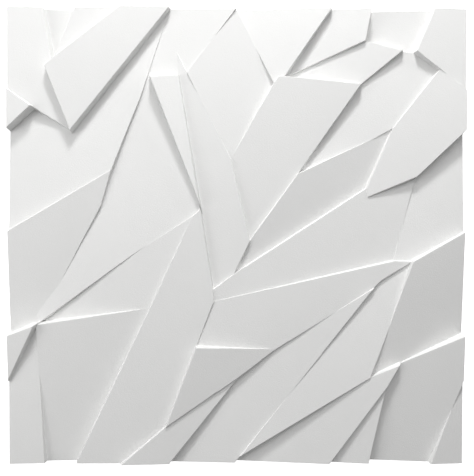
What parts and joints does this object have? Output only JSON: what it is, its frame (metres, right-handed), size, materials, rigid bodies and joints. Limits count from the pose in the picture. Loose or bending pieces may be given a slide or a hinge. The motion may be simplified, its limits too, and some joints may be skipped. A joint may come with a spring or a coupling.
{
  "type": "3d wall panel tile",
  "caption": "Square white gypsum wall panel with a relief of broken, tilted shards on its face and a flat back.",
  "frame": {"origin": "middle of the flat back", "axes": "+Z out of the relief face, +Y towards the edge that hangs uppermost on the wall, +X to the right of somebody facing the panel"},
  "size_m": [0.5, 0.5, 0.03],
  "materials": {
    "gypsum": "matt cast gypsum, unpainted"
  },
  "bodies": {
    "root": {"wall_panel": "gypsum"}
  },
  "joints": []
}
